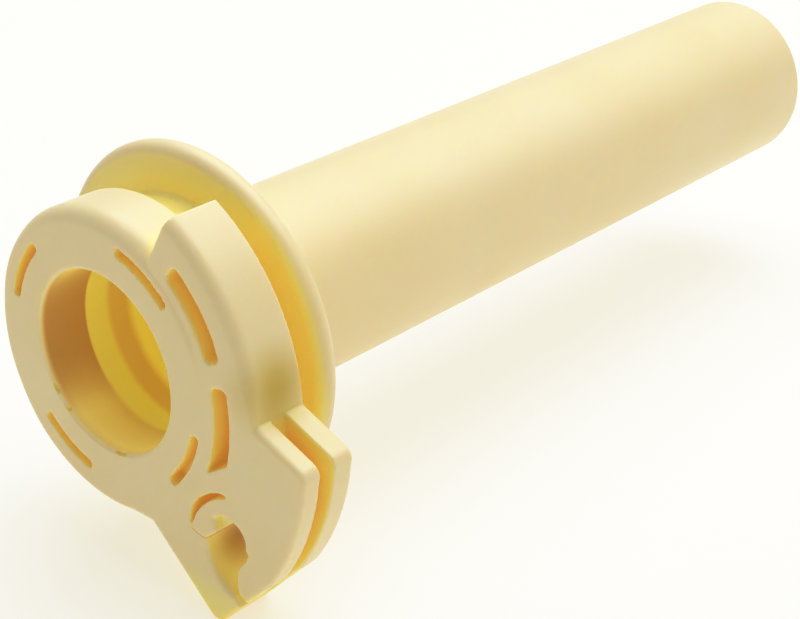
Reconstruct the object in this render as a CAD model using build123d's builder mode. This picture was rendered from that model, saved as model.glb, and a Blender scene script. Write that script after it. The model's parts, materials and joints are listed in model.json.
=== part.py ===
from build123d import *
import math
import os

# Moulded throttle tube: a long sleeve that a rubber grip slides onto, a stop flange, a short neck
# that runs in the throttle housing, and a cam head that winds the cable. Millimetres, +X along the
# tube from the cam end outwards, +Z up, origin at the mouth of the handlebar bore.

# Tube
BAR_DIAMETER = 22.2
BORE_CLEARANCE = 0.5
SLEEVE_DIAMETER = 25.4
OVERALL_LENGTH = 134.5
END_WALL = 1.6
END_ROUND = 0.8

# Neck and flange
HEAD_THICKNESS = 7.6
NECK_RADIUS = 16.4
FLANGE_RADIUS = 22.7
FLANGE_START = 12.9
FLANGE_THICKNESS = 3.0

# Cam head. Its outlines are drawn in the face of the head, which is turned about the tube
HEAD_TURN = 146.3
COLLAR_RADIUS = 18.8
COLLAR_ROUND = 1.4
INNER_RING_RADIUS = 18.0
DRUM_RADIUS = 24.9
DRUM_ROUND = 1.6
DRUM_START = -26.5
DRUM_END = 58.9
EAR_RADIUS = 32.4
EAR_START = 30.7
EAR_APEX = (25.9, 20.0)
EAR_RIM_START = 40.0
EAR_RIM_END = 68.3
EAR_TOE = (-1.1, 33.1)
CORNER_ROUND = 1.5
NOTCH = (-4.7, 19.3)
FRONT_EAR_THICKNESS = 2.55
CABLE_SLOT_WIDTH = 2.15

# Blind core slots in the face
CORE_DEPTH = 5.6
COLLAR_SLOT_COUNT = 4
COLLAR_SLOT_RADIUS = 15.75
COLLAR_SLOT_WIDTH = 1.2
COLLAR_SLOT_START = 49.7
COLLAR_SLOT_SWEEP = 28.7
DRUM_SLOT_INNER = 18.6
DRUM_SLOT_OUTER = 21.0
UPPER_SLOT_START = -17.4
UPPER_SLOT_END = 14.4
UPPER_SLOT_CORNER = 0.7
LOWER_SLOT_START = 22.9
LOWER_SLOT_END = 60.0
LOWER_SLOT_FOOT = 15.9
LOWER_SLOT_CORNER = 0.4

# Cable-end pocket, its entry channel and the relief round the snap finger
RELIEF_LEFT = (2.4, 20.8)
RELIEF_RIGHT = (11.2, 19.0)
POCKET_LEFT = (3.2, 22.6)
POCKET_RIGHT = (10.45, 22.2)
POCKET_LIP = (8.6, 26.85)
CHANNEL_LEFT = (3.9, 30.4)
CHANNEL_RIGHT = (5.8, 30.1)
CABLE_WAY_END = 80.0

# Snap finger over the pocket
FINGER_PIVOT = (10.6, 20.7)
KNUCKLE_RADIUS = 1.42
KNUCKLE_GAP = 0.12
SCOOP_CENTRE = (8.4, 22.5)
SCOOP_RADIUS = 1.7
SCOOP_DEPTH = 1.0

bore_radius = (BAR_DIAMETER + BORE_CLEARANCE) / 2
sleeve_radius = SLEEVE_DIAMETER / 2
flange_end = FLANGE_START + FLANGE_THICKNESS
bore_end = OVERALL_LENGTH - END_WALL
web_start = FRONT_EAR_THICKNESS
rear_ear_start = FRONT_EAR_THICKNESS + CABLE_SLOT_WIDTH

turn = math.radians(HEAD_TURN)
face = Plane(origin=(0, 0, 0), x_dir=(0, math.cos(turn), math.sin(turn)), z_dir=(1, 0, 0))


# A point in the face of the head, from a radius and an angle in degrees
def polar(radius, angle):
    return (radius * math.cos(math.radians(angle)), radius * math.sin(math.radians(angle)))


# The plane through the tube's axis at an angle in the face: x along the tube, y outwards
def radial_plane(angle):
    outwards = face.x_dir.rotate(Axis.X, angle)
    return Plane(origin=(0, 0, 0), x_dir=(1, 0, 0), z_dir=Vector(1, 0, 0).cross(outwards))


# A ring sector in the current sketch
def ring_sector(inner, outer, start, end):
    with BuildLine() as outline:
        CenterArc((0, 0), outer, start, end - start)
        Line(polar(outer, end), polar(inner, end))
        CenterArc((0, 0), inner, start, end - start)
        Line(polar(inner, start), polar(outer, start))
    make_face(outline.edges())


# Part of a turned shape between two angles, from (distance along the tube, radius) corners
def turned(corners, start=0.0, end=360.0):
    with BuildSketch(radial_plane(start)) as section:
        with BuildLine():
            Polyline(*corners, close=True)
        make_face()
    revolve(section.sketch, axis=Axis.X, revolution_arc=end - start)


# Material outside a rounded front edge, as a cutter between two angles
def round_front_edge(radius, edge_round, start, end):
    with BuildSketch(radial_plane(start)) as section:
        with BuildLine():
            Line((-1, radius - edge_round), (0, radius - edge_round))
            RadiusArc((0, radius - edge_round), (edge_round, radius), edge_round)
            Polyline((edge_round, radius), (edge_round, radius + 1), (-1, radius + 1))
            Line((-1, radius + 1), (-1, radius - edge_round))
        make_face()
    revolve(section.sketch, axis=Axis.X, revolution_arc=end - start, mode=Mode.SUBTRACT)


# The collar's circle runs off on a tangent to the notch beside the ears
notch_distance = math.hypot(*NOTCH)
notch_angle = math.degrees(math.atan2(NOTCH[1], NOTCH[0]))
tangent_angle = notch_angle + math.degrees(math.acos(COLLAR_RADIUS / notch_distance))

# Outline shared by the two ears
with BuildSketch() as ear_shape:
    with BuildLine():
        Line(polar(DRUM_RADIUS, EAR_START), EAR_APEX)
        Line(EAR_APEX, polar(EAR_RADIUS, EAR_RIM_START))
        CenterArc((0, 0), EAR_RADIUS, EAR_RIM_START, EAR_RIM_END - EAR_RIM_START)
        Polyline(polar(EAR_RADIUS, EAR_RIM_END), EAR_TOE, NOTCH, polar(COLLAR_RADIUS, tangent_angle))
        Line(polar(COLLAR_RADIUS, tangent_angle), polar(INNER_RING_RADIUS, tangent_angle))
        CenterArc((0, 0), INNER_RING_RADIUS, DRUM_END, tangent_angle - DRUM_END)
        Line(polar(INNER_RING_RADIUS, DRUM_END), polar(DRUM_RADIUS, DRUM_END))
        CenterArc((0, 0), DRUM_RADIUS, EAR_START, DRUM_END - EAR_START)
    make_face()
    fillet(ear_shape.vertices().sort_by_distance(EAR_APEX)[0], CORNER_ROUND)
    fillet(ear_shape.vertices().sort_by_distance(EAR_TOE)[0], CORNER_ROUND)

# Keyhole pocket for the cable end, its entry channel to the outside, and the relief round the finger
with BuildSketch() as pocket_shape:
    with BuildLine():
        ThreePointArc(RELIEF_RIGHT, (7.6, 18.15), RELIEF_LEFT)
        ThreePointArc(RELIEF_LEFT, (2.6, 21.8), POCKET_LEFT)
        ThreePointArc(POCKET_LEFT, (2.3, 26.6), CHANNEL_LEFT)
        Polyline(CHANNEL_LEFT, (4.6, 34.0), (6.1, 34.0), CHANNEL_RIGHT)
        ThreePointArc(CHANNEL_RIGHT, (6.7, 28.1), POCKET_LIP)
        ThreePointArc(POCKET_LIP, (10.95, 24.2), POCKET_RIGHT)
        Line(POCKET_RIGHT, RELIEF_RIGHT)
    make_face()
    with Locations(FINGER_PIVOT):
        Circle(KNUCKLE_RADIUS + KNUCKLE_GAP)

# Between the ears the cable runs round the drum to the pocket, so the web leaves that stretch open
with BuildSketch() as cable_way:
    ring_sector(DRUM_RADIUS, EAR_RADIUS + 4, EAR_START - 10, CABLE_WAY_END)
    with BuildLine():
        Polyline(POCKET_LEFT, (11, 22.6), (11, 40), (4.6, 40), CHANNEL_LEFT, (2.3, 26.6), close=True)
    make_face()

os.makedirs("parts", exist_ok=True)

with BuildPart() as bore_collar:
    turned(
        (
            (0, bore_radius),
            (0, COLLAR_RADIUS),
            (HEAD_THICKNESS, COLLAR_RADIUS),
            (HEAD_THICKNESS, bore_radius),
        ),
        tangent_angle,
        360 + DRUM_START,
    )
    round_front_edge(COLLAR_RADIUS, COLLAR_ROUND, tangent_angle, 360 + DRUM_START)
    turned(
        (
            (0, bore_radius),
            (0, INNER_RING_RADIUS),
            (HEAD_THICKNESS, INNER_RING_RADIUS),
            (HEAD_THICKNESS, bore_radius),
        ),
        DRUM_START,
        tangent_angle,
    )
    for slot in range(COLLAR_SLOT_COUNT):
        slot_start = COLLAR_SLOT_START + slot * 360 / COLLAR_SLOT_COUNT
        middle_line = CenterArc(
            (0, 0), COLLAR_SLOT_RADIUS, slot_start, COLLAR_SLOT_SWEEP, mode=Mode.PRIVATE
        )
        with BuildSketch(face):
            SlotArc(middle_line, COLLAR_SLOT_WIDTH)
        extrude(amount=CORE_DEPTH, mode=Mode.SUBTRACT)
bore_collar.part.label = "bore_collar"
export_step(bore_collar.part, "parts/bore_collar.step")

with BuildPart() as cable_drum:
    with BuildSketch(face):
        ring_sector(INNER_RING_RADIUS, DRUM_RADIUS, DRUM_START, DRUM_END)
    extrude(amount=HEAD_THICKNESS)
    round_front_edge(DRUM_RADIUS, DRUM_ROUND, DRUM_START, EAR_START)
    with BuildSketch(face) as upper_slot:
        ring_sector(DRUM_SLOT_INNER, DRUM_SLOT_OUTER, UPPER_SLOT_START, UPPER_SLOT_END)
        fillet(upper_slot.vertices(), UPPER_SLOT_CORNER)
    extrude(amount=CORE_DEPTH, mode=Mode.SUBTRACT)
    with BuildSketch(face) as lower_slot:
        ring_sector(DRUM_SLOT_INNER, DRUM_SLOT_OUTER, LOWER_SLOT_START, LOWER_SLOT_END)
        with Locations((0, LOWER_SLOT_FOOT)):
            Rectangle(2 * DRUM_RADIUS, DRUM_RADIUS, align=(Align.CENTER, Align.MIN), mode=Mode.SUBTRACT)
        fillet(lower_slot.vertices(), LOWER_SLOT_CORNER)
    extrude(amount=CORE_DEPTH, mode=Mode.SUBTRACT)
cable_drum.part.label = "cable_drum"
export_step(cable_drum.part, "parts/cable_drum.step")

with BuildPart() as front_ear:
    with BuildSketch(face):
        add(ear_shape.sketch)
        add(pocket_shape.sketch, mode=Mode.SUBTRACT)
    extrude(amount=FRONT_EAR_THICKNESS)
front_ear.part.label = "front_ear"
export_step(front_ear.part, "parts/front_ear.step")

with BuildPart() as ear_web:
    with BuildSketch(face.offset(web_start)):
        add(ear_shape.sketch)
        add(pocket_shape.sketch, mode=Mode.SUBTRACT)
        add(cable_way.sketch, mode=Mode.SUBTRACT)
    extrude(amount=CABLE_SLOT_WIDTH)
ear_web.part.label = "ear_web"
export_step(ear_web.part, "parts/ear_web.step")

with BuildPart() as rear_ear:
    with BuildSketch(face.offset(rear_ear_start)):
        add(ear_shape.sketch)
        add(pocket_shape.sketch, mode=Mode.SUBTRACT)
    extrude(amount=HEAD_THICKNESS - rear_ear_start)
rear_ear.part.label = "rear_ear"
export_step(rear_ear.part, "parts/rear_ear.step")

with BuildPart() as snap_finger:
    with BuildSketch(face):
        with BuildLine():
            Line((10.38, 19.3), (8.2, 19.15))
            ThreePointArc((8.2, 19.15), (5.6, 19.55), (3.45, 20.8))
            ThreePointArc((3.45, 20.8), (3.2, 21.7), (4.2, 22.85))
            Polyline((4.2, 22.85), (10.78, 22.1), (10.38, 19.3))
        make_face()
        with Locations(FINGER_PIVOT):
            Circle(KNUCKLE_RADIUS)
    extrude(amount=HEAD_THICKNESS)
    with BuildSketch(face):
        with Locations(SCOOP_CENTRE):
            Circle(SCOOP_RADIUS)
    extrude(amount=SCOOP_DEPTH, mode=Mode.SUBTRACT)
snap_finger.part.label = "snap_finger"
export_step(snap_finger.part, "parts/snap_finger.step")

with BuildPart() as neck:
    turned(
        (
            (HEAD_THICKNESS, bore_radius),
            (HEAD_THICKNESS, NECK_RADIUS),
            (FLANGE_START, NECK_RADIUS),
            (FLANGE_START, bore_radius),
        )
    )
neck.part.label = "neck"
export_step(neck.part, "parts/neck.step")

with BuildPart() as stop_flange:
    rim_round = FLANGE_THICKNESS / 2
    with BuildSketch(Plane.XY):
        with BuildLine():
            Polyline(
                (FLANGE_START, FLANGE_RADIUS - rim_round),
                (FLANGE_START, bore_radius),
                (flange_end, bore_radius),
                (flange_end, FLANGE_RADIUS - rim_round),
            )
            ThreePointArc(
                (flange_end, FLANGE_RADIUS - rim_round),
                (FLANGE_START + rim_round, FLANGE_RADIUS),
                (FLANGE_START, FLANGE_RADIUS - rim_round),
            )
        make_face()
    revolve(axis=Axis.X)
stop_flange.part.label = "stop_flange"
export_step(stop_flange.part, "parts/stop_flange.step")

with BuildPart() as grip_sleeve:
    turned(
        (
            (flange_end, bore_radius),
            (flange_end, sleeve_radius),
            (bore_end, sleeve_radius),
            (bore_end, bore_radius),
        )
    )
grip_sleeve.part.label = "grip_sleeve"
export_step(grip_sleeve.part, "parts/grip_sleeve.step")

with BuildPart() as end_wall:
    with BuildSketch(Plane.YZ.offset(bore_end)):
        Circle(sleeve_radius)
    extrude(amount=END_WALL)
    fillet(end_wall.faces().sort_by(Axis.X)[-1].edges(), END_ROUND)
end_wall.part.label = "end_wall"
export_step(end_wall.part, "parts/end_wall.step")
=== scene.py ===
# Moulded nylon throttle tube: the looks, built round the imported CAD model
import bmesh
import bpy
import json
import math
from mathutils import Matrix, Vector


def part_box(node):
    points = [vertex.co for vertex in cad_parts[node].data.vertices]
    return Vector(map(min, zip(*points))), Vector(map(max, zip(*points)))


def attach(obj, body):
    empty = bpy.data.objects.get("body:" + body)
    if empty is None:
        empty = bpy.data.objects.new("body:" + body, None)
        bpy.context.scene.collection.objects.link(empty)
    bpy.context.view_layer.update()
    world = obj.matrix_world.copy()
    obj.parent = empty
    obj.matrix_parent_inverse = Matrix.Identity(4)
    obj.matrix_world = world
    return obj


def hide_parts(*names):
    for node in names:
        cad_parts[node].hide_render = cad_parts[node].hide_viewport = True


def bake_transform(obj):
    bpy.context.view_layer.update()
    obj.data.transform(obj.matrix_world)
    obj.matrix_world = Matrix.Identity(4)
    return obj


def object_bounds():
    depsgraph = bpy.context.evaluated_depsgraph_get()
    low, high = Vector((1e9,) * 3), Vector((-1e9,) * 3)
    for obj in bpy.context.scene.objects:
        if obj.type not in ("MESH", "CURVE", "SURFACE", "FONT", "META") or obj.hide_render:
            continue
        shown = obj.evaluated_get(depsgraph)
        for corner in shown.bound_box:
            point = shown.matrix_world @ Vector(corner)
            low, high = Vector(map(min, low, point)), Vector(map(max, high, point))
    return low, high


mm = 0.001
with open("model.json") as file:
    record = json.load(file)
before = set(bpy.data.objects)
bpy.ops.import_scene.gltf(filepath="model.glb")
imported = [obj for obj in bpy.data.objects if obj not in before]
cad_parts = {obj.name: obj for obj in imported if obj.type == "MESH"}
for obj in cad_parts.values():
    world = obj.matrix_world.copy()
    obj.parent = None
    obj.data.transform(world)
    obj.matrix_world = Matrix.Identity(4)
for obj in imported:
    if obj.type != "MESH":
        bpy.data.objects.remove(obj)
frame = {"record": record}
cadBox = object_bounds()
barBore = [m for m in frame["record"]["mounts"] if m["name"] == "bar_bore"][0]
tubeNodes = frame["record"]["behaviour"]["bodies"]["tube"]
print("frame loaded")

weldDistance = 0.002  # millimetres
cutterClear = 1.0  # how far a cutter stands out of the face that it cuts


# Lowest (0) or highest (1) reach of a CAD node along one axis, in millimetres
def reach(node, side, axis):
    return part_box(node)[side][axis] / mm


# A point in the face, from a radius and an angle in degrees
def polar(radius, angle):
    return Vector((radius * math.cos(math.radians(angle)), radius * math.sin(math.radians(angle))))


# Arc about a centre, with a point every few degrees
def arcPoints(centre, radius, start, end, step=4.0):
    count = max(2, round(abs(end - start) / step))
    return [Vector(centre) + polar(radius, start + (end - start) * i / count) for i in range(count + 1)]


# Arc from a to c that passes through b
def arcThrough(a, b, c, step=6.0):
    a, b, c = Vector(a), Vector(b), Vector(c)
    d = 2 * (a.x * (b.y - c.y) + b.x * (c.y - a.y) + c.x * (a.y - b.y))
    centreX = (a.dot(a) * (b.y - c.y) + b.dot(b) * (c.y - a.y) + c.dot(c) * (a.y - b.y)) / d
    centreY = (a.dot(a) * (c.x - b.x) + b.dot(b) * (a.x - c.x) + c.dot(c) * (b.x - a.x)) / d
    centre = Vector((centreX, centreY))
    angles = [math.degrees(math.atan2(p.y - centre.y, p.x - centre.x)) for p in (a, b, c)]
    sweep = (angles[2] - angles[0]) % 360
    if (angles[1] - angles[0]) % 360 > sweep:
        sweep -= 360
    return arcPoints(centre, (a - centre).length, angles[0], angles[0] + sweep, step)


# Points round a corner between two straight edges
def roundedCorner(before, corner, after, radius, steps=6):
    before, corner, after = Vector(before), Vector(corner), Vector(after)
    toBefore, toAfter = (before - corner).normalized(), (after - corner).normalized()
    half = toBefore.angle(toAfter) / 2
    centre = corner + (toBefore + toAfter).normalized() * radius / math.sin(half)
    start = corner + toBefore * radius / math.tan(half)
    end = corner + toAfter * radius / math.tan(half)
    middle = centre + (corner - centre).normalized() * radius
    return arcThrough(start, middle, end, math.degrees(math.pi - 2 * half) / steps)


# Ring sector with round corners
def roundedSector(inner, outer, start, end, corner, step=15):
    swing = math.degrees(math.asin(corner / (outer - corner)))
    innerSwing = math.degrees(math.asin(corner / (inner + corner)))
    far, near = outer - corner, inner + corner
    innerStart, innerEnd = start + innerSwing, end - innerSwing
    points = arcPoints(polar(far, start + swing), corner, start - 90, start + swing, step)
    points += arcPoints((0, 0), outer, start + swing, end - swing)[1:-1]
    points += arcPoints(polar(far, end - swing), corner, end - swing, end + 90, step)
    points += arcPoints(polar(near, innerEnd), corner, end + 90, innerEnd + 180, step)
    points += arcPoints((0, 0), inner, innerEnd, innerStart)[1:-1]
    points += arcPoints(polar(near, innerStart), corner, innerStart + 180, start + 270, step)
    return points


# Keeps the part of an outline that is above a level line across the face
def cutLevel(points, level):
    kept = []
    for here, after in zip(points, points[1:] + points[:1]):
        if here.y <= level:
            kept.append(here)
        if (here.y <= level) != (after.y <= level):
            kept.append(here.lerp(after, (level - here.y) / (after.y - here.y)))
    return kept


def meshObject(name, bm):
    bmesh.ops.remove_doubles(bm, verts=bm.verts, dist=weldDistance)
    bmesh.ops.recalc_face_normals(bm, faces=bm.faces)
    mesh = bpy.data.meshes.new(name)
    bm.to_mesh(mesh)
    bm.free()
    obj = bpy.data.objects.new(name, mesh)
    bpy.context.scene.collection.objects.link(obj)
    return obj


# Rings of points joined into a solid, with flat ends
def solidFromRings(name, rings, closed=False):
    bm = bmesh.new()
    vertRings = [[bm.verts.new(p) for p in ring] for ring in rings]
    bands = list(zip(vertRings, vertRings[1:]))
    if closed:
        bands.append((vertRings[-1], vertRings[0]))
    for low, high in bands:
        for i in range(len(low)):
            j = (i + 1) % len(low)
            bm.faces.new((low[i], low[j], high[j], high[i]))
    if not closed:
        bm.faces.new(vertRings[0])
        bm.faces.new(list(reversed(vertRings[-1])))
    return meshObject(name, bm)


# Outline moved along its own normals, by a distance that each point gives. A sharp corner moves no further
# than its distance divided by the limit
def movedOutline(outline, distances, cornerLimit=0.6):
    moved = []
    count = len(outline)
    for i, point in enumerate(outline):
        back = (point - outline[i - 1]).normalized()
        on = (outline[(i + 1) % count] - point).normalized()
        normal = Vector((back.y + on.y, -back.x - on.x))
        normal = normal.normalized() / max(cornerLimit, math.cos(back.angle(on) / 2))
        moved.append(point + normal * distances[i])
    return moved


# Plate between two depths. The edge round at the front and back is rounded off, or flared for a cutter
def plate(name, outline, front, back, frontRound=None, backRound=None, flare=False, steps=5):
    area = sum(a.x * b.y - b.x * a.y for a, b in zip(outline, outline[1:] + outline[:1]))
    if area < 0:
        outline = list(reversed(outline))
    sign = 1 if flare else -1
    rings = []
    if flare and frontRound:
        mouth = movedOutline(outline, [frontRound(p) for p in outline])
        rings.append([(p, front - cutterClear) for p in mouth])
    for side, edge in ((1, frontRound), (-1, backRound)):
        level = front if side == 1 else back
        layers = []
        if edge:
            radii = [edge(p) for p in outline]
            for k in range(steps + 1):
                a = math.radians(90 * k / steps)
                moved = movedOutline(outline, [sign * r * (1 - math.sin(a)) for r in radii])
                layers.append([(p, level + side * r * (1 - math.cos(a))) for p, r in zip(moved, radii)])
        else:
            layers.append([(p, level) for p in outline])
        rings += layers if side == 1 else list(reversed(layers))
    return solidFromRings(name, [[Vector((p.x, p.y, w)) for p, w in ring] for ring in rings])


# Turned solid whose (radius, depth) section may change with the angle
def turned(name, sectionAt, start, end, steps):
    whole = end - start == 360
    rings = []
    for i in range(steps if whole else steps + 1):
        angle = start + (end - start) * i / steps
        rings.append([Vector((*polar(r, angle), w)) for r, w in sectionAt(angle)])
    return solidFromRings(name, rings, closed=whole)


# Material node trees and geometry trees both add their nodes here
def addNode(tree, kind, settings=None, inputs=None, links=None):
    node = tree.nodes.new(kind)
    for key, value in (settings or {}).items():
        setattr(node, key, value)
    for key, value in (inputs or {}).items():
        node.inputs[key].default_value = value
    for key, source in (links or {}).items():
        tree.links.new(source, node.inputs[key])
    return node


# Takes the modified mesh as the object's own, and removes the modifier
def applyModifier(obj):
    mesh = bpy.data.meshes.new_from_object(obj.evaluated_get(bpy.context.evaluated_depsgraph_get()))
    obj.modifiers.clear()
    old = obj.data
    obj.data = mesh
    bpy.data.meshes.remove(old)
    return obj


# Boolean of closed meshes, one tool after another
def combine(target, operation, tools):
    for tool in tools:
        modifier = target.modifiers.new("Boolean", "BOOLEAN")
        modifier.operation = operation
        modifier.solver = "MANIFOLD"
        modifier.object = tool
        applyModifier(target)
        bpy.data.objects.remove(tool)
    return target


# Sets a geometry tree's named input by its socket identifier
def setInput(modifier, name, value):
    for item in modifier.node_group.interface.items_tree:
        if item.name == name and item.in_out == "INPUT":
            modifier[item.identifier] = value


# Named inputs of a geometry tree, and its output
def addSockets(tree, inputs):
    for name, kind in inputs.items():
        tree.interface.new_socket(name, in_out="INPUT", socket_type="NodeSocket" + kind)
    tree.interface.new_socket("Geometry", in_out="OUTPUT", socket_type="NodeSocketGeometry")


# Each geometry tree ends as real geometry that carries its material
def endTree(tree, geometry, material):
    realized = addNode(tree, "GeometryNodeRealizeInstances", links={"Geometry": geometry})
    painted = addNode(
        tree, "GeometryNodeSetMaterial",
        links={"Geometry": realized.outputs["Geometry"], "Material": material},
    )
    addNode(tree, "NodeGroupOutput", links={"Geometry": painted.outputs["Geometry"]})


# Geometry Nodes: a (radius, depth) section swept once round the tube's axis
def sweepTree():
    tree = bpy.data.node_groups.new("Section swept round the axis", "GeometryNodeTree")
    kinds = {"Section": "Geometry", "Path Radius": "Float", "Segments": "Int", "Material": "Material"}
    addSockets(tree, kinds)
    given = addNode(tree, "NodeGroupInput")
    section = addNode(tree, "GeometryNodeMeshToCurve", links={"Mesh": given.outputs["Section"]})
    path = addNode(
        tree, "GeometryNodeCurvePrimitiveCircle",
        links={"Radius": given.outputs["Path Radius"], "Resolution": given.outputs["Segments"]},
    )
    skin = addNode(
        tree, "GeometryNodeCurveToMesh",
        links={"Curve": path.outputs["Curve"], "Profile Curve": section.outputs["Curve"]},
    )
    merged = addNode(
        tree, "GeometryNodeMergeByDistance", None, {"Distance": weldDistance},
        {"Geometry": skin.outputs["Mesh"]},
    )
    endTree(tree, merged.outputs["Geometry"], given.outputs["Material"])
    return tree


# Geometry Nodes: a cutter repeated evenly round the tube's axis
def ringTree():
    tree = bpy.data.node_groups.new("Cutter repeated round the axis", "GeometryNodeTree")
    addSockets(tree, {"Cutter": "Geometry", "Count": "Int", "Material": "Material"})
    given = addNode(tree, "NodeGroupInput")
    points = addNode(tree, "GeometryNodePoints", links={"Count": given.outputs["Count"]})
    index = addNode(tree, "GeometryNodeInputIndex")
    step = addNode(
        tree, "ShaderNodeMath", {"operation": "DIVIDE"}, {0: math.tau}, {1: given.outputs["Count"]}
    )
    angle = addNode(
        tree, "ShaderNodeMath", {"operation": "MULTIPLY"}, None,
        {0: index.outputs["Index"], 1: step.outputs["Value"]},
    )
    rotation = addNode(tree, "ShaderNodeCombineXYZ", links={"Z": angle.outputs["Value"]})
    copies = addNode(
        tree, "GeometryNodeInstanceOnPoints",
        links={
            "Points": points.outputs["Points"],
            "Instance": given.outputs["Cutter"],
            "Rotation": rotation.outputs["Vector"],
        },
    )
    endTree(tree, copies.outputs["Instances"], given.outputs["Material"])
    return tree


# Neck, flange and sleeve, in millimetres. The gate is a dimple on the end, with a low stub in it
tube = {
    "boreRadius": barBore["dims"]["r_mm"],
    "boreDepth": barBore["dims"]["length_mm"],
    "mouthRound": 0.55,
    "neckRadius": reach("neck", 1, 2),
    "flangeStart": reach("stop_flange", 0, 0),
    "flangeEnd": reach("stop_flange", 1, 0),
    "flangeRadius": reach("stop_flange", 1, 2),
    "sleeveRadius": reach("grip_sleeve", 1, 2),
    "length": reach("end_wall", 1, 0),
    "boreCorner": 0.5,
    "rootDepth": 2.0,
    "rootFillet": 0.8,
    "endRound": 0.8,
    "gateRadius": 2.6,
    "gateSlope": 0.3,
    "gateDepth": 0.35,
    "stubFoot": 0.7,
    "stubTop": 0.5,
    "stubSink": 0.1,
    "pathRadius": 10.0,
    "segments": 160,
}


# Closed solid from a section, turned by the sweep tree
def sweptSolid(name, section):
    mesh = bpy.data.meshes.new(name)
    points = [(r - tube["pathRadius"], -w, 0) for r, w in section]
    mesh.from_pydata(points, [(i, i + 1) for i in range(len(points) - 1)], [])
    obj = bpy.data.objects.new(name, mesh)
    bpy.context.scene.collection.objects.link(obj)
    modifier = obj.modifiers.new("Sweep", "NODES")
    modifier.node_group = bpy.data.node_groups.get("Section swept round the axis") or sweepTree()
    setInput(modifier, "Path Radius", tube["pathRadius"])
    setInput(modifier, "Segments", tube["segments"])
    setInput(modifier, "Material", nylonMaterial)
    applyModifier(obj)
    bm = bmesh.new()
    bm.from_mesh(obj.data)
    bmesh.ops.recalc_face_normals(bm, faces=bm.faces)
    bm.to_mesh(obj.data)
    bm.free()
    return obj


# Arc of a section, as (radius, depth)
def sectionArc(*arc):
    return [(p.x, p.y) for p in arcPoints(*arc)]


def makeTube():
    t = tube
    fillet = t["rootFillet"]
    rim = (t["flangeEnd"] - t["flangeStart"]) / 2
    rimCentre = (t["flangeRadius"] - rim, t["flangeStart"] + rim)
    neck, sleeve, end = t["neckRadius"], t["sleeveRadius"], t["length"]
    section = [(0, t["rootDepth"]), (neck + fillet, t["rootDepth"])]
    section += sectionArc((neck + fillet, head["thickness"] + fillet), fillet, 270, 180, 10)
    section += sectionArc((neck + fillet, t["flangeStart"] - fillet), fillet, 180, 90, 10)
    section += sectionArc(rimCentre, rim, -90, 90, 8)
    section += sectionArc((sleeve + fillet, t["flangeEnd"] + fillet), fillet, 270, 180, 10)
    section += sectionArc((sleeve - t["endRound"], end - t["endRound"]), t["endRound"], 0, 90, 9)
    section += [(t["gateRadius"] + t["gateSlope"], end), (t["gateRadius"], end - t["gateDepth"])]
    section += [(t["stubFoot"], end - t["gateDepth"])]
    section += [(t["stubTop"], end - t["stubSink"]), (0, end - t["stubSink"])]
    return sweptSolid("Tube skin", section)


def makeBoreCutter():
    t = tube
    bore, mouth = t["boreRadius"], t["mouthRound"]
    corner, depth = t["boreCorner"], t["boreDepth"]
    section = [(0, -cutterClear), (bore + mouth, -cutterClear)]
    section += sectionArc((bore + mouth, mouth), mouth, 270, 180, 10)
    section += sectionArc((bore - corner, depth - corner), corner, 0, 90, 15)
    section += [(0, depth)]
    return sweptSolid("Bore cutter", section)


# Small nicks on the bore's mouth. Each place is an angle round the face and a length
nicks = {
    "places": ((113.7, 2.4), (163.5, 0.8), (178.0, 1.6)),
    "halfWidth": 0.3,
    "outwards": 0.2,
    "depth": 0.25,
}


def makeNick(angle, length):
    bm = bmesh.new()
    bmesh.ops.create_icosphere(bm, subdivisions=3, radius=1)
    bm.transform(Matrix.Diagonal((nicks["halfWidth"], length / 2, nicks["halfWidth"], 1)))
    mouth = Matrix.Translation((tube["boreRadius"] + nicks["outwards"], 0, nicks["depth"]))
    bm.transform(Matrix.Rotation(math.radians(angle), 4, "Z") @ mouth)
    return meshObject("Nick", bm)


# Cam head. Places in its face are (across, down), with the face turned about the tube. A collar round is
# an angle and its edge round there
head = {
    "turn": 146.3,
    "thickness": reach("bore_collar", 1, 0),
    "collarRadius": 18.8,
    "collarRounds": (
        (0, 2.4), (20, 2.2), (50, 0.4), (165, 0.35), (190, 0.8),
        (230, 1.2), (262, 1.6), (300, 2.2), (340, 2.4),
    ),
    "collarCore": 8.0,
    "collarSteps": 240,
    "drumRadius": 24.9,
    "drumRound": 1.6,
    "drumStart": -26.5,
    "drumEnd": 58.9,
    "drumSink": 0.2,
    "drumSinkFades": (2, 24),
    "drumCrisper": 0.6,
    "drumCrisperOver": 14,
    "drumSteps": 90,
    "overlapRadius": 15.9,
    "overlapMargin": 0.1,
    "earStart": 30.7,
    "earApex": (25.9, 20.0),
    "earRadius": 32.4,
    "earRimStart": 40.0,
    "earRimEnd": 68.3,
    "earToe": (-1.1, 33.1),
    "earCorner": 1.5,
    "earRoot": (2, 1.5),
    "earOverlap": 4,
    "earRound": 0.4,
    "earTopRound": 0.5,
    "earTopFades": (3, 2),
    "earBackRound": 0.35,
    "hiddenRound": 0.05,
    "notch": (-4.7, 19.3),
    "slotStart": reach("ear_web", 0, 0),
    "slotEnd": reach("ear_web", 1, 0),
    "coreDepth": 5.6,
    "voxel": 0.16,
    "smoothing": 7,
    "smoothingFactor": 0.5,
    "triangles": 150000,
}

# Coring slots: inner radius, outer radius, start, end and corner radius
collarSlot = {"count": 4, "inner": 15.15, "outer": 16.35, "start": 47.5, "end": 80.6, "corner": 0.58}
drumSlots = [
    {"inner": 18.6, "outer": 21.0, "start": -17.4, "end": 14.4, "corner": 0.8, "foot": None},
    {"inner": 18.6, "outer": 21.0, "start": 22.9, "end": 66.0, "corner": 0.8, "foot": 15.9},
]

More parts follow.
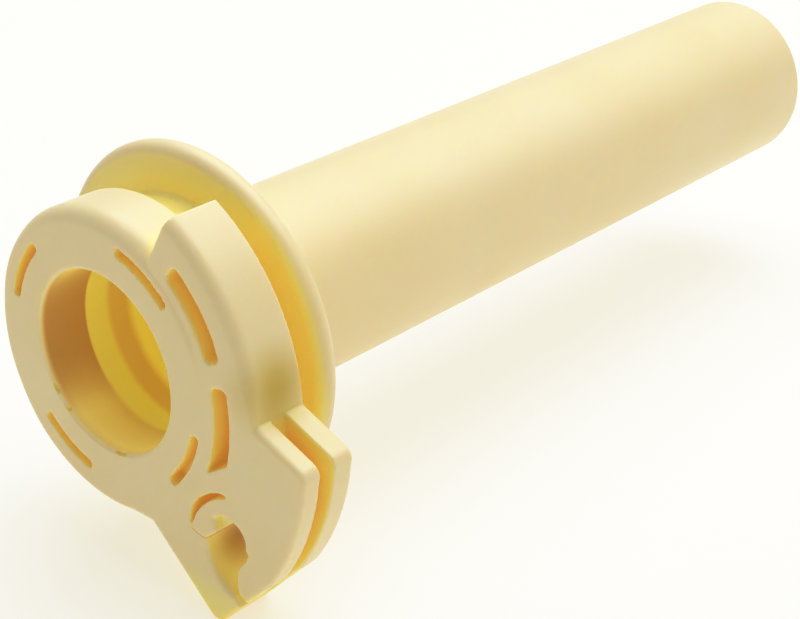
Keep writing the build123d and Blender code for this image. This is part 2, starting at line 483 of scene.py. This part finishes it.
# Slot between the ears that the cable lies in, past the rim and before the ears
cableWay = {"past": 4, "before": 10, "end": 80, "corner": 0.3}

# Crescent opening above the snap finger. Three points in a row are an arc
crescent = {
    "topLeft": ((2.42, 20.95), (4.6, 18.85), (7.6, 18.2)),
    "topRight": ((7.6, 18.2), (9.4, 18.3), (11.0, 18.85)),
    "rightEnd": ((11.15, 19.1), (10.9, 19.3), (10.3, 19.12)),
    "underside": ((10.3, 19.12), (5.5, 19.4), (2.5, 21.1)),
}

# Round pocket for the cable's barrel end, with its way in from the rim. Each wall is an arc
pocket = {
    "leftWall": ((4.3, 22.87), (3.35, 24.9), (3.1, 27.0)),
    "leftFoot": ((3.1, 27.0), (3.5, 28.8), (4.4, 30.3)),
    "wayIn": ((4.8, 34.5), (6.4, 34.5), (5.95, 31.3), (5.6, 30.2)),
    "rightFoot": ((5.6, 29.8), (6.7, 28.1), (8.2, 27.05)),
    "lip": ((9.1, 26.85), (10.15, 26.25), (10.35, 25.95), (10.05, 25.7)),
    "rightWall": ((10.25, 25.45), (10.95, 24.0), (10.35, 22.15)),
    "top": ((10.35, 22.15), (7.4, 22.5), (4.3, 22.87)),
    "edgeRound": 0.1,
    "softRound": 0.7,
    "softLeftOf": (3.8, 4.9),
    "softBelow": (23.0, 24.6),
}

# Scoop in the front of the snap finger
scoop = {
    "centre": (8.3, 22.9),
    "radius": 2.0,
    "depth": 1.0,
    "left": 7.1,
    "right": 10.2,
    "foot": 23.6,
    "edgeRound": 0.1,
    "softRound": 0.8,
    "fade": 0.8,
}


turnAngle = math.radians(head["turn"])
acrossAxis = Vector((0, math.cos(turnAngle), math.sin(turnAngle)))
downAxis = Vector((0, -math.sin(turnAngle), math.cos(turnAngle)))
toRow = Matrix((acrossAxis, downAxis, Vector((1, 0, 0)))).transposed().to_4x4() @ Matrix.Scale(mm, 4)
notch = Vector(head["notch"])
tangentAngle = math.degrees(math.atan2(notch.y, notch.x) + math.acos(head["collarRadius"] / notch.length))


def smooth(value, low, high):
    t = min(1.0, max(0.0, (value - low) / (high - low)))
    return t * t * (3 - 2 * t)


# The collar's front edge is well rounded at the top, and crisp on the side by the ears
def collarSection(angle):
    rounds = head["collarRounds"]
    edge = rounds[0][1]
    for (low, before), (high, after) in zip(rounds, rounds[1:]):
        edge += (after - before) * smooth(angle, low, high)
    radius = head["collarRadius"]
    section = [(head["collarCore"], 0.0)]
    section += sectionArc((radius - edge, edge), edge, -90, 0, 9)
    return section + [(radius, head["thickness"]), (head["collarCore"], head["thickness"])]


# The drum's face lies a little below the collar's, and comes level towards the ears
def drumSection(angle):
    sink = head["drumSink"] * (1 - smooth(angle, *head["drumSinkFades"]))
    nearEar = smooth(angle, head["earStart"] - head["drumCrisperOver"], head["earStart"])
    edge = head["drumRound"] * (1 - head["drumCrisper"] * nearEar)
    radius = head["drumRadius"]
    section = [(head["overlapRadius"], sink)]
    section += sectionArc((radius - edge, sink + edge), edge, -90, 0, 9)
    return section + [(radius, head["thickness"]), (head["overlapRadius"], head["thickness"])]


def earOutline():
    apex, toe = Vector(head["earApex"]), Vector(head["earToe"])
    root = polar(head["drumRadius"] - head["earRoot"][0], head["earStart"] - head["earRoot"][1])
    rim = arcPoints((0, 0), head["earRadius"], head["earRimStart"], head["earRimEnd"])
    points = [polar(head["overlapRadius"], head["earStart"]), root]
    points += roundedCorner(polar(head["drumRadius"], head["earStart"]), apex, rim[0], head["earCorner"])
    points += rim
    points += roundedCorner(rim[-1], toe, notch, head["earCorner"])
    points += [notch, polar(head["collarRadius"], tangentAngle)]
    points += arcPoints((0, 0), head["overlapRadius"], tangentAngle, head["earStart"] + head["earOverlap"])
    return points


# Where the ears' outline runs inside the collar, out of sight
def insideCollar(point):
    return point.length < head["overlapRadius"] + head["overlapMargin"]


# Softly rounded along the top slope, crisper along the curved rim and the side by the notch
def earEdge(point):
    above, below = head["earTopFades"]
    top = 1 - smooth(point.y, head["earApex"][1] - above, head["earApex"][1] + below)
    return head["hiddenRound"] if insideCollar(point) else head["earRound"] + head["earTopRound"] * top


def earBackEdge(point):
    return head["hiddenRound"] if insideCollar(point) else head["earBackRound"]


def cableWayOutline():
    outer, start = head["earRadius"] + cableWay["past"], head["earStart"] - cableWay["before"]
    return roundedSector(head["drumRadius"], outer, start, cableWay["end"], cableWay["corner"])


# Opening above the snap finger, down to a point at its tip
def crescentOutline():
    points = arcThrough(*crescent["topLeft"])
    points += arcThrough(*crescent["topRight"])[1:]
    points += [Vector(p) for p in crescent["rightEnd"]]
    points += arcThrough(*crescent["underside"])[1:]
    return points


# Pocket under the finger, with its way in from the rim
def pocketOutline():
    points = arcThrough(*pocket["leftWall"])
    points += arcThrough(*pocket["leftFoot"])[1:]
    points += [Vector(p) for p in pocket["wayIn"]]
    points += arcThrough(*pocket["rightFoot"])
    points += [Vector(p) for p in pocket["lip"]]
    points += arcThrough(*pocket["rightWall"])
    points += arcThrough(*pocket["top"])[1:-1]
    return points


# The pocket's left wall and way in are softly rounded at the front
def pocketEdge(point):
    left = 1 - smooth(point.x, *pocket["softLeftOf"])
    low = smooth(point.y, *pocket["softBelow"])
    return pocket["edgeRound"] + pocket["softRound"] * left * low


# The scoop runs out softly to the left
def scoopEdge(point):
    left = 1 - smooth(point.x, scoop["left"], scoop["left"] + scoop["fade"])
    return scoop["edgeRound"] + scoop["softRound"] * left


def slotOutline(size):
    return roundedSector(size["inner"], size["outer"], size["start"], size["end"], size["corner"])


# Round bottom of the scoop in the snap finger's face, closed by straight sides
def scoopOutline():
    bottom = [p for p in arcPoints(scoop["centre"], scoop["radius"], 180, 360) if p.x > scoop["left"]]
    return bottom + [Vector((scoop["right"], scoop["foot"])), Vector((scoop["left"], scoop["foot"]))]


def makeHead():
    body = turned("Collar", collarSection, 0, 360, head["collarSteps"])
    drum = turned("Drum", drumSection, head["drumStart"], head["drumEnd"], head["drumSteps"])
    ears = plate("Ears", earOutline(), 0, head["thickness"], earEdge, earBackEdge)
    combine(body, "UNION", [drum, ears])

    ring = plate("Slots", slotOutline(collarSlot), -cutterClear, head["coreDepth"])
    modifier = ring.modifiers.new("Ring", "NODES")
    modifier.node_group = ringTree()
    setInput(modifier, "Count", collarSlot["count"])
    setInput(modifier, "Material", nylonMaterial)
    applyModifier(ring)
    cutters = [ring]
    for size in drumSlots:
        outline = slotOutline(size)
        if size["foot"]:
            outline = cutLevel(outline, size["foot"])
        cutters.append(plate("Drum slot", outline, -cutterClear, head["coreDepth"]))
    cutters.append(plate("Cable way", cableWayOutline(), head["slotStart"], head["slotEnd"]))
    through = head["thickness"] + cutterClear
    cutters.append(plate("Crescent", crescentOutline(), -cutterClear, through))
    cutters.append(plate("Pocket", pocketOutline(), 0, through, pocketEdge, flare=True))
    cutters.append(plate("Scoop", scoopOutline(), 0, scoop["depth"], scoopEdge, flare=True))
    combine(body, "DIFFERENCE", cutters)

    remesh = body.modifiers.new("Remesh", "REMESH")
    remesh.mode = "VOXEL"
    remesh.voxel_size = head["voxel"]
    applyModifier(body)
    soften = body.modifiers.new("Soften", "SMOOTH")
    soften.factor = head["smoothingFactor"]
    soften.iterations = head["smoothing"]
    applyModifier(body)
    faces = len(body.data.polygons) * 2
    thin = body.modifiers.new("Thin", "DECIMATE")
    thin.ratio = head["triangles"] / faces
    applyModifier(body)
    print("head meshed:", faces, "triangles, kept", len(body.data.polygons))
    return body


# Snap finger over the pocket. The real finger bends between two places (across, down, deep) at its root
snapFinger = {
    "gap": 0.14,
    "gapWay": (-0.8, 0.6),
    "tip": ((4.35, 22.9), (3.3, 22.15), (2.5, 20.93)),
    "body": ((5.5, 18.7), (9.5, 18.7), (11.0, 19.25), (10.55, 22.1), (9.0, 22.75), (5.2, 23.3)),
    "bendStart": (10.4, 20.7, 3.8),
    "bendEnd": (7.6, 21.0, 3.8),
}


# Space that belongs to the snap finger. Its left side lies in the gap round the finger's tip
def fingerRoom(gap):
    outline = [p + Vector(snapFinger["gapWay"]) * gap for p in arcThrough(*snapFinger["tip"])]
    outline += [Vector(p) for p in snapFinger["body"]]
    return plate("Finger room", outline, -cutterClear, head["thickness"] + cutterClear)


# sRGB hex code to linear colour
def fromHex(code):
    channels = [int(code[i:i + 2], 16) / 255 for i in (1, 3, 5)]
    return tuple(c / 12.92 if c <= 0.04045 else ((c + 0.055) / 1.055) ** 2.4 for c in channels) + (1.0,)


# Natural nylon 6, injection moulded: a cream satin skin that light sinks into. Recesses get painted shade,
# yellow then amber, and a little painted glow that stands in for light come through the wall
nylon = {
    "skin": "#F2E4BE",
    "skinWarm": "#EFDDAE",
    "recessReach": 9.0,
    "recessFades": (0.64, 0.92),
    "recesses": ((0.06, "#CF9A62"), (0.2, "#E6D080"), (0.5, "#EFE496"), (0.72, "#F3EA9C")),
    "glow": "#FFDA6C",
    "glowStrength": 0.2,
    "glowFades": 0.85,
    "cloudSize": 14.0,
    "cloudDetail": 2.0,
    "grainSize": 0.35,
    "grainDetail": 3.0,
    "grainDepth": 0.008,
    "roughness": 0.38,
    "ior": 1.53,
    "scatter": 0.35,
    "scatterColour": (1.0, 0.55, 0.18),
    "scatterDepth": 1.2,
    "boreFades": (0.1, 0.35),
}

# Light through the wall, painted in the bore as bands: depth in millimetres, skin colour and glow
boreBands = (
    (0.0, "#F5E8BE", "#2C2408"),
    (1.5, "#F6EAB4", "#6A5C20"),
    (4.5, "#F5E6AA", "#5E5018"),
    (6.5, "#F2DE9C", "#443A12"),
    (7.3, "#F6EC98", "#565016"),
    (9.9, "#F6EC98", "#565016"),
    (10.8, "#F0D68E", "#483C12"),
    (13.0, "#F0D68E", "#483C12"),
    (14.2, "#F8EC9C", "#6A6226"),
    (30.0, "#F6EA98", "#585020"),
)
boreDepthShown = 30.0

# Shadow on the bore's side wall, between two depths
boreShade = {
    "colour": "#DCB878",
    "glowKept": "#2A1A08",
    "start": 1.0,
    "end": 6.8,
    "endFades": (0.1, 0.2),
    "sideFrom": 0.5,
}

# Painted shade by the ear's root and in the pocket: place (across, down, deep), radius and colour
paintedShades = (
    {"place": (22.3, 10.0, 4.0), "radius": 6.5, "colour": "#D4BA5C"},
    {"place": (3.6, 24.6, 4.8), "radius": 4.6, "colour": "#BC8E44"},
)


# Colour ramp down the bore
def bandRamp(tree, along, colourIndex):
    ramp = addNode(tree, "ShaderNodeValToRGB", None, None, {"Fac": along})
    elements = ramp.color_ramp.elements
    for i, band in enumerate(boreBands):
        element = elements[i] if i < 2 else elements.new(1.0)
        element.position = band[0] / boreDepthShown
        element.color = fromHex(band[colourIndex])
    return ramp


def makeNylon():
    material = bpy.data.materials.new("Natural nylon 6, injection moulded")
    material.use_nodes = True
    tree = material.node_tree
    tree.nodes.clear()
    place = addNode(tree, "ShaderNodeTexCoord")

    # Slow drift of the cream colour
    clouds = addNode(
        tree, "ShaderNodeTexNoise", None,
        {"Scale": 1 / (nylon["cloudSize"] * mm), "Detail": nylon["cloudDetail"]},
        {"Vector": place.outputs["Object"]},
    )
    skin = addNode(
        tree, "ShaderNodeMix", {"data_type": "RGBA"},
        {"A": fromHex(nylon["skin"]), "B": fromHex(nylon["skinWarm"])},
        {"Factor": clouds.outputs["Fac"]},
    )

    # Painted shade in recesses, yellow then amber, by how enclosed a place is
    openness = addNode(
        tree, "ShaderNodeAmbientOcclusion", {"samples": 8},
        {"Distance": nylon["recessReach"] * mm},
    )
    shaded = addNode(
        tree, "ShaderNodeMapRange", {"interpolation_type": "SMOOTHSTEP"},
        {
            "From Min": nylon["recessFades"][0],
            "From Max": nylon["recessFades"][1],
            "To Min": 1.0,
            "To Max": 0.0,
        },
        {"Value": openness.outputs["AO"]},
    )
    recessShade = addNode(tree, "ShaderNodeValToRGB", None, None, {"Fac": openness.outputs["AO"]})
    for i, (position, colour) in enumerate(nylon["recesses"]):
        elements = recessShade.color_ramp.elements
        element = elements[i] if i < 2 else elements.new(1.0)
        element.position = position
        element.color = fromHex(colour)
    recessShaded = addNode(
        tree, "ShaderNodeMix", {"data_type": "RGBA"}, None,
        {"Factor": shaded.outputs["Result"], "A": skin.outputs["Result"], "B": recessShade.outputs["Color"]},
    )
    # Painted glow in recesses, strongest where most enclosed
    closed = addNode(
        tree, "ShaderNodeMapRange", None,
        {"From Min": 0.0, "From Max": nylon["glowFades"], "To Min": 1.0, "To Max": 0.0},
        {"Value": openness.outputs["AO"]},
    )
    fullGlow = tuple(c * nylon["glowStrength"] for c in fromHex(nylon["glow"])[:3]) + (1,)
    paintedRecessGlow = addNode(
        tree, "ShaderNodeMix", {"data_type": "RGBA"}, {"A": (0, 0, 0, 1), "B": fullGlow},
        {"Factor": closed.outputs["Result"]},
    )

    # The bore's painted light bands and painted shadow take over at its wall
    axes = addNode(tree, "ShaderNodeSeparateXYZ", None, None, {"Vector": place.outputs["Object"]})
    across = addNode(
        tree, "ShaderNodeCombineXYZ", None, None, {"Y": axes.outputs["Y"], "Z": axes.outputs["Z"]}
    )
    radius = addNode(
        tree, "ShaderNodeVectorMath", {"operation": "LENGTH"}, None, {"Vector": across.outputs["Vector"]}
    )
    inBore = addNode(
        tree, "ShaderNodeMapRange", None,
        {
            "From Min": (tube["boreRadius"] + nylon["boreFades"][0]) * mm,
            "From Max": (tube["boreRadius"] + nylon["boreFades"][1]) * mm,
            "To Min": 1.0,
            "To Max": 0.0,
        },
        {"Value": radius.outputs["Value"]},
    )
    outside = recessShaded
    # Each painted shade darkens the colour round its place
    for shade in paintedShades:
        distance = addNode(
            tree, "ShaderNodeVectorMath", {"operation": "DISTANCE"}, {1: toRow @ Vector(shade["place"])},
            {0: place.outputs["Object"]},
        )
        near = addNode(
            tree, "ShaderNodeMapRange", {"interpolation_type": "SMOOTHSTEP"},
            {"From Min": 0.0, "From Max": shade["radius"] * mm, "To Min": 1.0, "To Max": 0.0},
            {"Value": distance.outputs["Value"]},
        )
        outside = addNode(
            tree, "ShaderNodeMix", {"data_type": "RGBA"}, {"B": fromHex(shade["colour"])},
            {"Factor": near.outputs["Result"], "A": outside.outputs["Result"]},
        )
    sideways = addNode(
        tree, "ShaderNodeMapRange", {"interpolation_type": "SMOOTHSTEP"},
        {"From Min": boreShade["sideFrom"] * tube["boreRadius"] * mm, "From Max": tube["boreRadius"] * mm},
        {"Value": axes.outputs["Y"]},
    )
    shallow = addNode(
        tree, "ShaderNodeMapRange", {"interpolation_type": "SMOOTHSTEP"},
        {
            "From Min": (boreShade["end"] - boreShade["endFades"][0]) * mm,
            "From Max": (boreShade["end"] + boreShade["endFades"][1]) * mm,
            "To Min": 1.0,
            "To Max": 0.0,
        },
        {"Value": axes.outputs["X"]},
    )
    mouth = addNode(
        tree, "ShaderNodeMapRange", {"interpolation_type": "SMOOTHSTEP"},
        {"From Min": 0.0, "From Max": boreShade["start"] * mm},
        {"Value": axes.outputs["X"]},
    )
    deepEnough = addNode(
        tree, "ShaderNodeMath", {"operation": "MULTIPLY"}, None,
        {0: shallow.outputs["Result"], 1: mouth.outputs["Result"]},
    )
    boreShaded = addNode(
        tree, "ShaderNodeMath", {"operation": "MULTIPLY"}, None,
        {0: sideways.outputs["Result"], 1: deepEnough.outputs["Value"]},
    )
    along = addNode(
        tree, "ShaderNodeMath", {"operation": "MULTIPLY"}, {1: 1 / (boreDepthShown * mm)},
        {0: axes.outputs["X"]},
    )
    boreColour = addNode(
        tree, "ShaderNodeMix", {"data_type": "RGBA"}, {"B": fromHex(boreShade["colour"])},
        {
            "Factor": boreShaded.outputs["Value"],
            "A": bandRamp(tree, along.outputs["Value"], 1).outputs["Color"],
        },
    )
    colour = addNode(
        tree, "ShaderNodeMix", {"data_type": "RGBA"}, None,
        {
            "Factor": inBore.outputs["Result"],
            "A": outside.outputs["Result"],
            "B": boreColour.outputs["Result"],
        },
    )
    boreGlow = addNode(
        tree, "ShaderNodeMix", {"data_type": "RGBA"}, {"B": fromHex(boreShade["glowKept"])},
        {
            "Factor": boreShaded.outputs["Value"],
            "A": bandRamp(tree, along.outputs["Value"], 2).outputs["Color"],
        },
    )
    glow = addNode(
        tree, "ShaderNodeMix", {"data_type": "RGBA"}, None,
        {
            "Factor": inBore.outputs["Result"],
            "A": paintedRecessGlow.outputs["Result"],
            "B": boreGlow.outputs["Result"],
        },
    )

    # Fine grain of the mould
    grain = addNode(
        tree, "ShaderNodeTexNoise", None,
        {"Scale": 1 / (nylon["grainSize"] * mm), "Detail": nylon["grainDetail"]},
        {"Vector": place.outputs["Object"]},
    )
    bump = addNode(
        tree, "ShaderNodeBump", None,
        {"Strength": 1.0, "Distance": nylon["grainDepth"] * mm},
        {"Height": grain.outputs["Fac"]},
    )
    shader = addNode(
        tree, "ShaderNodeBsdfPrincipled", {"subsurface_method": "RANDOM_WALK"},
        {
            "Roughness": nylon["roughness"],
            "IOR": nylon["ior"],
            "Subsurface Weight": nylon["scatter"],
            "Subsurface Radius": nylon["scatterColour"],
            "Subsurface Scale": nylon["scatterDepth"] * mm,
            "Emission Strength": 1.0,
        },
        {
            "Base Color": colour.outputs["Result"],
            "Emission Color": glow.outputs["Result"],
            "Normal": bump.outputs["Normal"],
        },
    )
    addNode(tree, "ShaderNodeOutputMaterial", None, None, {"Surface": shader.outputs["BSDF"]})
    return material


# Camera, one softbox, an even sky and a floor of lit paper, in metres and watts
stage = {
    "cameraPlace": (-0.11009, -0.14334, 0.09547),
    "cameraAim": (0.66945, 0.59383, -0.44633),
    "lens": 78.98,
    "clipStart": 0.01,
    "floorSize": 4.0,
    "floorRoughness": 0.9,
    "floorSpecular": 0.1,
    "floorColour": "#ABABAA",
    "floorGlowColour": "#FFFCF0",
    "floorGlow": 0.56,
    "skyColour": "#FFFFFF",
    "skyStrength": 0.41,
    "lampPlace": (0.22, 0.03, 0.5),
    "lampAim": (0.1, 0.0, 0.0),
    "lampSize": (0.8, 0.55),
    "lampPower": 3.15,
    "lampColour": "#F3F8FF",
}


def makeStage():
    camera = bpy.data.objects.new("Camera", bpy.data.cameras.new("Camera"))
    camera.data.lens = stage["lens"]
    camera.data.clip_start = stage["clipStart"]
    camera.location = stage["cameraPlace"]
    camera.rotation_euler = Vector(stage["cameraAim"]).to_track_quat("-Z", "Y").to_euler()
    bpy.context.scene.collection.objects.link(camera)
    bpy.context.scene.camera = camera

    lamp = bpy.data.objects.new("Softbox", bpy.data.lights.new("Softbox", "AREA"))
    lamp.data.shape = "RECTANGLE"
    lamp.data.size, lamp.data.size_y = stage["lampSize"]
    lamp.data.energy = stage["lampPower"]
    lamp.data.color = fromHex(stage["lampColour"])[:3]
    lamp.location = stage["lampPlace"]
    aim = Vector(stage["lampAim"]) - Vector(stage["lampPlace"])
    lamp.rotation_euler = aim.to_track_quat("-Z", "Y").to_euler()
    bpy.context.scene.collection.objects.link(lamp)

    world = bpy.data.worlds.new("Studio")
    bpy.context.scene.world = world
    world.use_nodes = True
    sky = world.node_tree.nodes["Background"]
    sky.inputs["Color"].default_value = fromHex(stage["skyColour"])
    sky.inputs["Strength"].default_value = stage["skyStrength"]

    bpy.ops.mesh.primitive_plane_add(size=stage["floorSize"], location=(0, 0, cadBox[0].z))
    floor = bpy.context.object
    floor.name = "floor"
    paper = bpy.data.materials.new("White paper sweep")
    paper.use_nodes = True
    paperShader = paper.node_tree.nodes["Principled BSDF"]
    paperShader.inputs["Base Color"].default_value = fromHex(stage["floorColour"])
    paperShader.inputs["Roughness"].default_value = stage["floorRoughness"]
    paperShader.inputs["Specular IOR Level"].default_value = stage["floorSpecular"]
    paperShader.inputs["Emission Color"].default_value = fromHex(stage["floorGlowColour"])
    paperShader.inputs["Emission Strength"].default_value = stage["floorGlow"]
    floor.data.materials.append(paper)


# Contrast curve: shadows darker, lights lighter, and the middle as it was
contrast = ((0.1, 0.06), (0.2, 0.135), (0.32, 0.25), (0.45, 0.41), (0.6, 0.605), (0.72, 0.765), (0.85, 0.905))


def setContrast():
    view = bpy.context.scene.view_settings
    view.view_transform = "Standard"
    view.use_curve_mapping = True
    curve = view.curve_mapping.curves[3]
    for x, y in contrast:
        curve.points.new(x, y)
    view.curve_mapping.update()


sharpAngle = 40


# Into the model's place, with smooth shading and the few true corners kept sharp
def finishPiece(obj, name):
    obj.name = name
    obj.data.name = name
    obj.data.transform(toRow)
    obj.data.materials.clear()
    obj.data.materials.append(nylonMaterial)
    obj.data.shade_smooth()
    obj.data.set_sharp_from_angle(angle=math.radians(sharpAngle))
    return obj


nylonMaterial = makeNylon()
print("nylon made")
makeStage()
setContrast()
print("camera, light and floor set")

skin = makeHead()
combine(skin, "UNION", [makeTube()])
combine(skin, "DIFFERENCE", [makeBoreCutter()])
combine(skin, "DIFFERENCE", [makeNick(*nick) for nick in nicks["places"]])
print("tube joined to the head and bored")

finger = skin.copy()
finger.data = skin.data.copy()
bpy.context.scene.collection.objects.link(finger)
combine(skin, "DIFFERENCE", [fingerRoom(snapFinger["gap"])])
combine(finger, "INTERSECT", [fingerRoom(0)])
print("skin", len(skin.data.polygons), "finger", len(finger.data.polygons))

finishPiece(skin, "moulded_tube_skin")
finishPiece(finger, "snap_finger_skin")
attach(skin, "tube")
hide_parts(*tubeNodes)
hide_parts("snap_finger")
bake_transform(finger)
